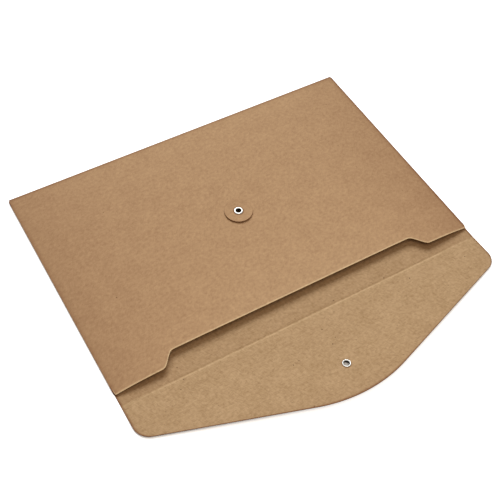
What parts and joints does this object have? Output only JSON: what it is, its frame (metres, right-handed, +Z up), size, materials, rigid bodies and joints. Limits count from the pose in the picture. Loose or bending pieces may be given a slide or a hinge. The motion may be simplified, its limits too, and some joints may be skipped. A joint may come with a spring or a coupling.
{
  "type": "string tie document wallet",
  "caption": "Kraft board document wallet: bowed pocket with a notched mouth, pointed folding flap, and a riveted paper button on pocket and flap for a tie cord.",
  "frame": {"origin": "centre of the back panel's underside, on the surface that the wallet lies on", "axes": "+X along the mouth, +Y from the mouth to the bottom fold with the open flap towards -Y, +Z up out of the front panel"},
  "size_m": [0.33, 0.3015, 0.009],
  "materials": {
    "board_outside": "matt brown kraft board, outer face",
    "board_inside": "matt brown kraft board, inner face, slightly greyer",
    "button_board": "matt brown kraft board",
    "nickel_eyelet": "bright nickel-plated eyelet"
  },
  "bodies": {
    "pocket": {"back_panel": "board_outside", "front_panel": "board_outside", "bottom_fold": "board_outside", "left_glue_tab": "board_inside", "right_glue_tab": "board_inside", "front_eyelet": "nickel_eyelet"},
    "spine": {"spine_strip": "board_inside"},
    "flap": {"closing_flap": "board_inside", "flap_eyelet": "nickel_eyelet"},
    "front_button": {"front_button_disc": "button_board"},
    "flap_button": {"flap_button_disc": "button_board"}
  },
  "joints": [
    {"name": "spine_bend", "type": "hinge", "parent": "pocket", "child": "spine", "pos_m": [0, -0.1075, 0.00055], "axis": [-1, 0, 0], "range_deg": [0, 88.37]},
    {"name": "flap_crease", "type": "hinge", "parent": "spine", "child": "flap", "pos_m": [0, -0.1166, 0.00055], "axis": [-1, 0, 0], "range_deg": [0, 88.37]},
    {"name": "front_button_turn", "type": "hinge", "parent": "pocket", "child": "front_button", "pos_m": [0, -0.0019, 0.00718], "axis": [0, 0, 1], "continuous": true},
    {"name": "flap_button_turn", "type": "hinge", "parent": "flap", "child": "flap_button", "pos_m": [0, -0.16775, 0.0029], "axis": [0, -0.0567, -0.9984], "continuous": true}
  ],
  "couplings": [
    {"joint": "flap_crease", "follows": "spine_bend", "ratio": 1}
  ]
}
